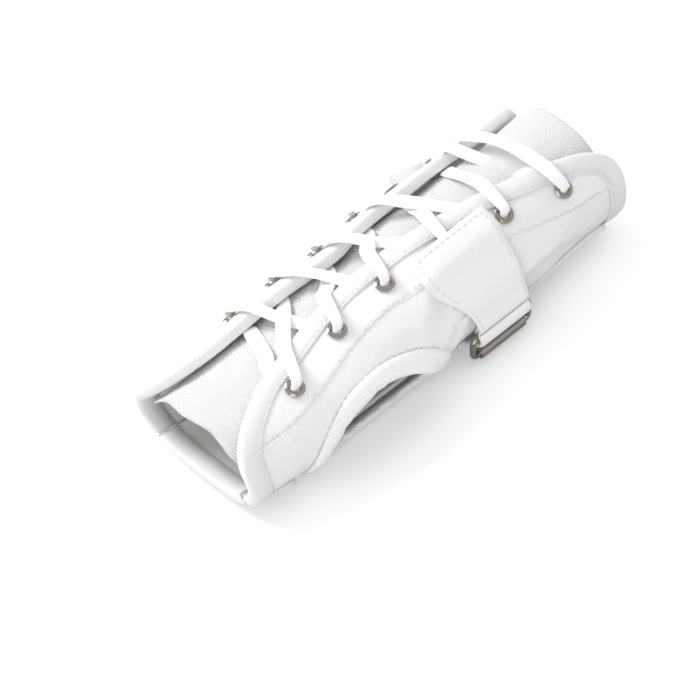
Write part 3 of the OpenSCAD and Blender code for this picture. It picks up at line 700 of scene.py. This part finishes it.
def resample(path, step):
    """The path in even steps, and the length along it."""
    k = arc_mm(path[:, 0], path[:, 1])
    d = np.hypot(np.diff(path[:, 0]) * (k[1:] + k[:-1]) / 2, np.diff(path[:, 1]))
    run = np.concatenate([[0], d.cumsum()])
    s = np.linspace(0, run[-1], int(run[-1] / step) + 1)
    return np.stack([np.interp(s, run, path[:, 0]), np.interp(s, run, path[:, 1])], 1), s


def soften(path, passes):
    """Rounds the path's corners."""
    for _ in range(passes):
        path[1:-1] = (path[:-2] + 2 * path[1:-1] + path[2:]) / 4
    return path


def folded_tape(name, path, run, side, extra=0.0):
    """Tape folded over the edge along the path, puckered a little by its stitches."""
    pucker = 0.13 * np.sin(run * 2 * math.pi / 5.3 + np.sin(run / 9) * 2)[:, None]
    wobble = 0.2 * np.array([noise.noise((s / 11, 3.1, side)) for s in run])[:, None]

    def grid(profile, puff):
        columns = [stepped(path, c + (wobble[:, 0] if c > 6 else 0), side=side)
                   for c, _ in profile]
        offs = np.array([h if h > -1 else h - extra for _, h in profile])[None, :]
        soft = np.array([1.0 if 1 < c < 6 and h > 0 else 0.3 for c, h in profile])[None, :]
        a = np.stack([c[:, 0] for c in columns], 1)
        y = np.stack([c[:, 1] for c in columns], 1)
        return body(a, y, offs + puff * pucker * soft, side)

    across = np.array([c for c, _ in FOLDED])[None, :] + 0 * run[:, None]
    uv = np.stack([across, run[:, None] + 0 * across], -1)
    return grid_solid(name, grid(FOLDED, 1)[::side], grid(FOLDED_IN, 0)[::side], uv[::side],
                      [tape_white])


edge_paths = {}
for side in (1, -1):
    low_y, high_y = CORNER_D[side][0], CORNER_P[side][0]
    edge_m = np.linspace(low_y, high_y, 90)
    edge_d = np.linspace(SEAM + 2, open_angle(low_y, side) - 3.5, 40)
    edge_p = np.linspace(open_angle(high_y, side) - 3, SEAM + 2, 40)
    flap_edge = np.concatenate([np.stack([edge_d, distal_y(edge_d, side)], 1),
                                np.stack([open_angle(edge_m, side), edge_m], 1),
                                np.stack([edge_p, proximal_y(edge_p, side)], 1)])
    edge_paths[side] = resample(soften(resample(flap_edge, 1.3)[0], 12), 1.3)
palm_edge = np.linspace(-180 - SEAM + 1.5, SEAM - 1.5, 80)
for side, label in ((1, "radial"), (-1, "ulnar")):
    edge_path, edge_run = edge_paths[side]
    tape = folded_tape(label + "_edge_tape", edge_path, edge_run, side)
    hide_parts(label + "_edge_binding")
    inner = stepped(edge_path, 6.8, side=side)
    seam = stitches(label + "_edge_stitches",
                    np.column_stack([inner, np.full(len(inner), 1.0)]), side=side)
    for piece in (tape, seam):
        if side > 0:
            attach(piece, "splint")
        else:
            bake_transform(piece)
for label, y, way in (("distal", -HALF_LENGTH, 1), ("proximal", HALF_LENGTH, -1)):
    path, run = resample(np.stack([palm_edge[::way], 0 * palm_edge + y], 1), 1.3)
    tape = folded_tape(label + "_palm_tape", path, run, 1, extra=1.8)
    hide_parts(label + "_binding")
    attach(tape, "splint")


# Thumb band: a soft ribbed knit tube round the thumb opening, sewn over the panel's edge.
# It rolls outwards where the thumb's base pushes it, at the wrist end.
def knit(tree):
    """Columns of knit loops, 1.5 mm wide, leaning left and right in turn."""
    _, u, v = cloth_axes(tree)
    lean = maths(tree, "MULTIPLY", maths(tree, "ABSOLUTE", stripes(tree, v, 3.0)), 0.8)
    return maths(tree, "ADD", maths(tree, "ABSOLUTE", stripes(tree, v, 3.0)),
                 maths(tree, "MULTIPLY",
                       stripes(tree, maths(tree, "ADD", u, lean), 1.3), 0.6))


# Rib knit: soft columns and a fuzzy edge
knit_white = cloth_material("thumb_band_rib_knit", "#fcfcfc", knit, 0.1, rough=0.95,
                            sheen=0.45, fibre=0.7)
turn = -np.linspace(0, 2 * math.pi, 241)[:-1]
rim = np.stack([SEAM + np.where(np.sin(turn) > 0, 51, 10) * np.sin(turn),
                THUMB_Y - THUMB_HALF * np.cos(turn)], 1)
rim_run = np.arange(240) * 0.86
wrist_end = smooth((np.sin(turn) + 0.1) * 1.2) * smooth((rim[:, 1] - THUMB_Y) / 30)
section = np.linspace(0, 2 * math.pi, 25)[:-1]
lumps = np.array([noise.noise((math.cos(t) * 3.2, math.sin(t) * 3.2, 1.7)) for t in turn])
rolls = np.array([noise.noise((math.cos(t) * 9, math.sin(t) * 9, 4.2)) for t in turn])
rings_a, rings_y, rings_off = [], [], []
for q in section:
    cq, sq = math.cos(q), math.sin(q)
    flat_q = math.copysign(abs(cq)**0.75, cq)
    reach = 3.0 + (4.6 + 0.4 * lumps) * flat_q
    lip = np.clip(-cq, 0, 1)
    height = (0.5 + (1.9 + 0.4 * lumps + 0.3 * rolls) * sq
              + lip * (-1.4 + 5.2 * wrist_end + 0.8 * rolls))
    moved = stepped(rim, reach, True)
    rings_a.append(moved[:, 0])
    rings_y.append(moved[:, 1])
    rings_off.append(height)
band_points = body(np.array(rings_a).T, np.array(rings_y).T, np.array(rings_off).T)
m, n = band_points.shape[:2]
faces = [(i * n + j, i * n + (j + 1) % n, ((i + 1) % m) * n + (j + 1) % n, ((i + 1) % m) * n + j)
         for i in range(m) for j in range(n)]
band_uv = np.stack(np.broadcast_arrays(section[None, :] * 3.2, rim_run[:, None]), -1)
thumb_band = finish_mesh("thumb_band_knit", band_points.reshape(-1, 3), faces,
                         band_uv.reshape(-1, 2), [knit_white])
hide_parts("thumb_band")
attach(thumb_band, "splint")
outer_rim = np.column_stack([stepped(rim, 7.9, True), np.full(240, 0.3)])
band_seam = stitches("thumb_band_stitches", outer_rim, length=2.4, gap=1.2)
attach(band_seam, "splint")


# Piping: tape-covered cord in the two long seams beside the palm panel.
def piping_run(name, node, side, body_name, runs):
    """Lengths of piping along one seam, between the given places."""
    for number, (start, end) in enumerate(runs):
        y = np.linspace(start, end, max(6, int((end - start) / 2)))
        waver = np.array([0.25 * noise.noise((v / 6, side, 2.2)) for v in y])
        rows = np.array([ring(p, (0, 0, 1), 1.2 + 0.15 * w, 1.2)
                         for p, w in zip(side_pt(side, SEAM, y, 1.5 + waver), waver)])
        piece = ribbon(f"{name}_{number}", rows, [tape_white], squareness=2)
        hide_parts(node)
        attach(piece, body_name)


piping_run("radial_piping_cord", "radial_piping", 1, "splint",
           [(8, 12), (46, 102), (-102, -89)])
piping_run("ulnar_piping_cord", "ulnar_piping", -1, "splint", [(-102, 11), (46, 102)])


# Tongue: ribbed elastic, 1 mm, under the lacing. Its ribs run round the arm, 1 mm apart.
def elastic(tree):
    _, u, v = cloth_axes(tree)
    return maths(tree, "ADD", stripes(tree, v, 1.15),
                 maths(tree, "MULTIPLY", stripes(tree, u, 1.5), 0.35))


# Ribbed elastic: a slightly greyer white with clear ribs
elastic_white = cloth_material("tongue_ribbed_elastic", "#e7e7ea", elastic, 0.16, rough=0.8,
                               fibre=0.15)
tongue_y = np.linspace(-109, 108.5, 194)[:, None]
tongue_a = np.linspace(28, 152, 80)[None, :]
tongue_lift = (0.7 * ripple(tongue_a, tongue_y, 22, 1.4) + 0.25 * ripple(tongue_a, tongue_y, 7, 6)
               + 0.5 * np.sin((tongue_y + tongue_a * 0.3) / 7.5) * smooth((tongue_y + 112) / 30)
               * smooth((104 - tongue_y) / 60))
tongue_lift = np.minimum(tongue_lift, 0.5) - 0.2
tongue_y = tongue_y + 0 * tongue_a + 0.8 * np.sin(tongue_a / 9) * (tongue_y < -90)
tongue_a = tongue_a + 0 * tongue_y
tongue_uv = np.stack([tongue_a * CLOTH_PER_DEGREE, tongue_y], -1)
tongue = grid_solid("tongue_elastic", body(tongue_a, tongue_y, -6.9 + tongue_lift),
                    body(tongue_a, tongue_y, -7.9 + tongue_lift), tongue_uv, [elastic_white])
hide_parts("tongue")
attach(tongue, "splint")


# Strap: 1.6 mm brushed loop web. The sewn part runs across the palm side and round the
# ring's inner bar; the free end goes on over the back, wider and turned over at its end.
def brushed(tree):
    """Rows of small tufts, 1.4 mm apart."""
    place, u, v = cloth_axes(tree)
    tufts = maths(tree, "MULTIPLY", stripes(tree, u, 1.4), stripes(tree, v, 1.4))
    fluff = add(tree, "ShaderNodeTexNoise", {"Vector": place, "Scale": 2.4, "Detail": 3.0})
    return maths(tree, "ADD", tufts, maths(tree, "MULTIPLY", fluff.outputs[0], 2))


# Brushed web: a short pile that hides the weave
strap_white = cloth_material("strap_brushed_web", "#f8f8f9", brushed, 0.05, rough=0.95,
                             sheen=0.5, fibre=0.5)
STRAP_Y, RING_ANGLE, WRAP_R, STRAP_T = 28.6, -26, 3, 1.6
BAR_A = body(RING_ANGLE, STRAP_Y, 4) / MM


def round_bar(f, y, r):
    """Points round the ring's inner bar, in metres."""
    f, y, r = np.broadcast_arrays(f, y, r)
    return np.stack([BAR_A[0] + r * np.cos(np.radians(f)), y,
                     BAR_A[2] + r * np.sin(np.radians(f))], -1) * MM


def strap_off(a):
    """The free end's height: over the ring's bar, down on the shell and up over the laces."""
    return 1.8 + 2.6 * (1 - smooth((a + 16) / 16)) + 3.6 * smooth((a - 34) / 14)


def strap_rows(angles, widths, mids, offs, wraps, wrap_first, extra):
    """The strap's grid: rows on the body and rows round the bar, across 17 columns."""
    s = np.linspace(-1, 1, 17)
    edge = 0.35 * (np.abs(s) > 0.93) * (extra > 0)
    on_body = [body(a, mid + s * w, off + extra - edge)
               for a, w, mid, off in zip(angles, widths, mids, offs)]
    on_bar = [round_bar(f, STRAP_Y + s * 15, WRAP_R + extra - edge) for f in wraps]
    return np.array(on_bar + on_body if wrap_first else on_body + on_bar)


def strap_piece(name, rows, material):
    """A piece of strap, its rows smoothed where it leaves the bar."""
    top, bottom = rows(STRAP_T), rows(0)
    for grid in (top, bottom):
        for _ in range(3):
            grid[1:-1] = (grid[:-2] + 2 * grid[1:-1] + grid[2:]) / 4
    mid = top[:, 8] / MM
    run = np.concatenate([[0], np.linalg.norm(np.diff(mid, axis=0), axis=1).cumsum()])
    across = (top[:, :, 1] - top[:, 8:9, 1]) / MM
    uv = np.stack([across, run[:, None] + 0 * across], -1)
    return grid_solid(name, top, bottom, uv, [material])


sewn_a = np.linspace(-138, -50, 60)
sewn = strap_piece("strap_sewn_web", lambda extra: strap_rows(
    sewn_a, 15 + 0 * sewn_a, STRAP_Y + 0 * sewn_a, 0.3 + 0 * sewn_a,
    np.linspace(-105, 46, 26), False, extra), strap_white)
free_a = np.linspace(-15, 62, 70)
spread = smooth((free_a + 10) / 60)
free = strap_piece("strap_free_web", lambda extra: strap_rows(
    free_a, 15 + 7.5 * spread, STRAP_Y - 5.9 * spread,
    strap_off(free_a) + 0.5 * np.exp(-((free_a - 16) / 3)**2),
    np.linspace(50, 56, 3), True, extra), strap_white)
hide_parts("strap_lower")
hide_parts("strap_free_end")
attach(sewn, "splint")
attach(free, "strap_flap")
strap_rim = []
for a, s in ([(a, -0.88) for a in np.linspace(-12, 59, 30)]
             + [(59, s) for s in np.linspace(-0.85, 0.85, 16)]
             + [(a, 0.88) for a in np.linspace(59, -12, 30)]):
    w = smooth((a + 10) / 60)
    strap_rim.append([a, STRAP_Y - 5.9 * w + s * (15 + 7.5 * w), strap_off(a) + STRAP_T])
strap_seam = stitches("strap_edge_stitches", np.array(strap_rim), length=2.6, gap=0.8)
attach(strap_seam, "strap_flap")


# Hook and loop pads: the hook pad is under the strap's free end, the loop patch on the
# shell below it.
def hooks(tree):
    place, _, _ = cloth_axes(tree)
    dots = add(tree, "ShaderNodeTexVoronoi", {"Vector": place, "Scale": 1.1})
    return maths(tree, "SUBTRACT", 1.0, dots.outputs["Distance"])


# Nylon hook tape: fine dots with a dull shine
hook_pad = cloth_material("hook_tape_nylon", "#ebebed", hooks, 0.3, rough=0.45, sheen=0.0)
# Loop tape: a matt, fleecy pile
loop_pad = cloth_material("loop_tape_pile", "#f0f0f2", nap, 0.3, rough=0.97, sheen=0.6,
                          fibre=1.0)
for name, node, material, slot_name, body_name, ys, angles, offs in (
        ("loop_pad_pile", "loop_patch", loop_pad, "loop_tape", "splint", (7, 43), (6, 33),
         (0.9, 0.2)),
        ("hook_pad_nylon", "strap_hook", hook_pad, "hook_tape", "strap_flap", (10, 42),
         (8, 31), (1.65, 1.05))):
    y = np.linspace(*ys, 24)[:, None] + np.zeros((1, 20))
    a = np.linspace(*angles, 20)[None, :] + 0 * y
    round_off = 0.25 * (np.abs(np.linspace(-1, 1, 24))[:, None] > 0.9)
    pad = grid_solid(name, body(a, y, offs[0] - round_off), body(a, y, offs[1]),
                     np.stack([a * CLOTH_PER_DEGREE, y], -1), [material])
    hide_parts(node)
    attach(pad, body_name)


# Chape: a folded piece of the strap's web that holds the ring's inner bar; its leg lies on
# the shell.
chape_y = np.linspace(-12.5, 12.5, 16)
leg_a = np.linspace(-29, -6, 14)
around = [round_bar(f, STRAP_Y + chape_y, 2.6) for f in np.linspace(330, 190, 22)]
inside = [round_bar(f, STRAP_Y + chape_y, 1.65) for f in np.linspace(330, 190, 22)]
leg_top = [body(a, STRAP_Y + chape_y, 1.9) for a in leg_a]
leg_low = [body(a, STRAP_Y + chape_y, 0.5) for a in leg_a]
chape_uv = np.stack(np.broadcast_arrays(chape_y[None, :], np.arange(22)[:, None] * 0.5), -1)
chape = grid_solid("ring_chape_loop", np.array(around), np.array(inside), chape_uv,
                   [strap_white])
leg_uv = np.stack(np.broadcast_arrays(chape_y[None, :], np.arange(14)[:, None] * 1.1), -1)
leg = grid_solid("ring_chape_leg", np.array(leg_top), np.array(leg_low), leg_uv, [strap_white])
for piece in (chape, leg):
    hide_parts("ring_chape")
    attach(piece, "splint")


# Metal: nickel-plated brass eyelets, washers, ring and roller, and the aluminium stay. All
# of them are the CAD part's own solids.
def metal(name, colour, rough, grain_scale, grain_depth):
    """A plated or milled metal with a fine grain and faint smears."""
    made = bpy.data.materials.new(name)
    made.use_nodes = True
    tree = made.node_tree
    shader = tree.nodes["Principled BSDF"]
    place = add(tree, "ShaderNodeTexCoord").outputs["Object"]
    grain = add(tree, "ShaderNodeTexNoise", {"Vector": place, "Scale": grain_scale,
                                             "Detail": 5.0})
    smear = add(tree, "ShaderNodeTexNoise", {"Vector": place, "Scale": 160, "Detail": 3.0})
    bump = add(tree, "ShaderNodeBump", {"Height": grain.outputs[0],
                                        "Distance": grain_depth * MM, "Strength": 0.6})
    worn = add(tree, "ShaderNodeMapRange", {"Value": smear.outputs[0], "To Min": rough * 0.7,
                                            "To Max": rough * 1.5})
    tone = add(tree, "ShaderNodeHueSaturation", {
        "Color": linear(colour), "Value": maths(tree, "ADD", 0.9, maths(
            tree, "MULTIPLY", smear.outputs[0], 0.15))})
    tree.links.new(tone.outputs[0], shader.inputs["Base Color"])
    tree.links.new(worn.outputs[0], shader.inputs["Roughness"])
    tree.links.new(bump.outputs[0], shader.inputs["Normal"])
    shader.inputs["Metallic"].default_value = 1.0
    return made


# Polished nickel plate: warm grey with sharp reflections and faint smears
nickel = metal("nickel_plate_polished", "#a8a298", 0.13, 700, 0.02)
# Mill-finished aluminium: cooler and duller than the nickel
aluminium = metal("stay_mill_aluminium", "#c2c6ca", 0.4, 1500, 0.02)
for node_name, finish in [(n, nickel) for n in (
        "radial_eyelets", "ulnar_eyelets", "radial_washers", "ulnar_washers", "ring_frame",
        "ring_roller")] + [("volar_stay", aluminium)]:
    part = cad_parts[node_name]
    part.data.materials.clear()
    part.data.materials.append(finish)
    for polygon in part.data.polygons:
        polygon.material_index = 0


# Stage: a pale floor, a broad key light from the back of the hand's side, a fill and a
# bright surround, as in a white studio.
floor_mesh = bpy.data.meshes.new("floor")
floor_mesh.from_pydata([(-6, -6, 0), (6, -6, 0), (6, 6, 0), (-6, 6, 0)], [], [(0, 1, 2, 3)])
floor = bpy.data.objects.new("floor", floor_mesh)
bpy.context.collection.objects.link(floor)
floor.location.z = -0.0006
paper = bpy.data.materials.new("floor_paper")
paper.use_nodes = True
paper_shader = paper.node_tree.nodes["Principled BSDF"]
# The camera sees white paper, but the light that bounces off it is a third weaker
seen = add(paper.node_tree, "ShaderNodeLightPath").outputs["Is Camera Ray"]
shade = maths(paper.node_tree, "MULTIPLY_ADD", seen, 0.3, 0.66)
paper.node_tree.links.new(shade, paper_shader.inputs["Base Color"])
paper.node_tree.links.new(maths(paper.node_tree, "MULTIPLY", seen, 0.22),
                          paper_shader.inputs["Emission Strength"])
paper_shader.inputs["Roughness"].default_value = 0.95
paper_shader.inputs["Emission Color"].default_value = (1, 1, 1, 1)
floor_mesh.materials.append(paper)
LIGHTS = [("key", (-0.95, -0.35, 1.0), 0.6, 14.5), ("fill", (1.0, -1.2, 0.5), 1.1, 5.5),
          ("rim", (0.1, 1.3, 0.9), 0.8, 2)]
for name, place, size, power in LIGHTS:
    lamp = bpy.data.objects.new(name, bpy.data.lights.new(name, "AREA"))
    lamp.data.size = size
    lamp.data.energy = power
    lamp.location = place
    lamp.rotation_euler = (look_at - lamp.location).to_track_quat("-Z", "Y").to_euler()
    bpy.context.collection.objects.link(lamp)
world = bpy.data.worlds.new("studio")
world.use_nodes = True
world.node_tree.nodes["Background"].inputs[0].default_value = (1, 1, 1, 1)
world.node_tree.nodes["Background"].inputs[1].default_value = 0.76
bpy.context.scene.world = world
bpy.context.scene.view_settings.view_transform = "Standard"
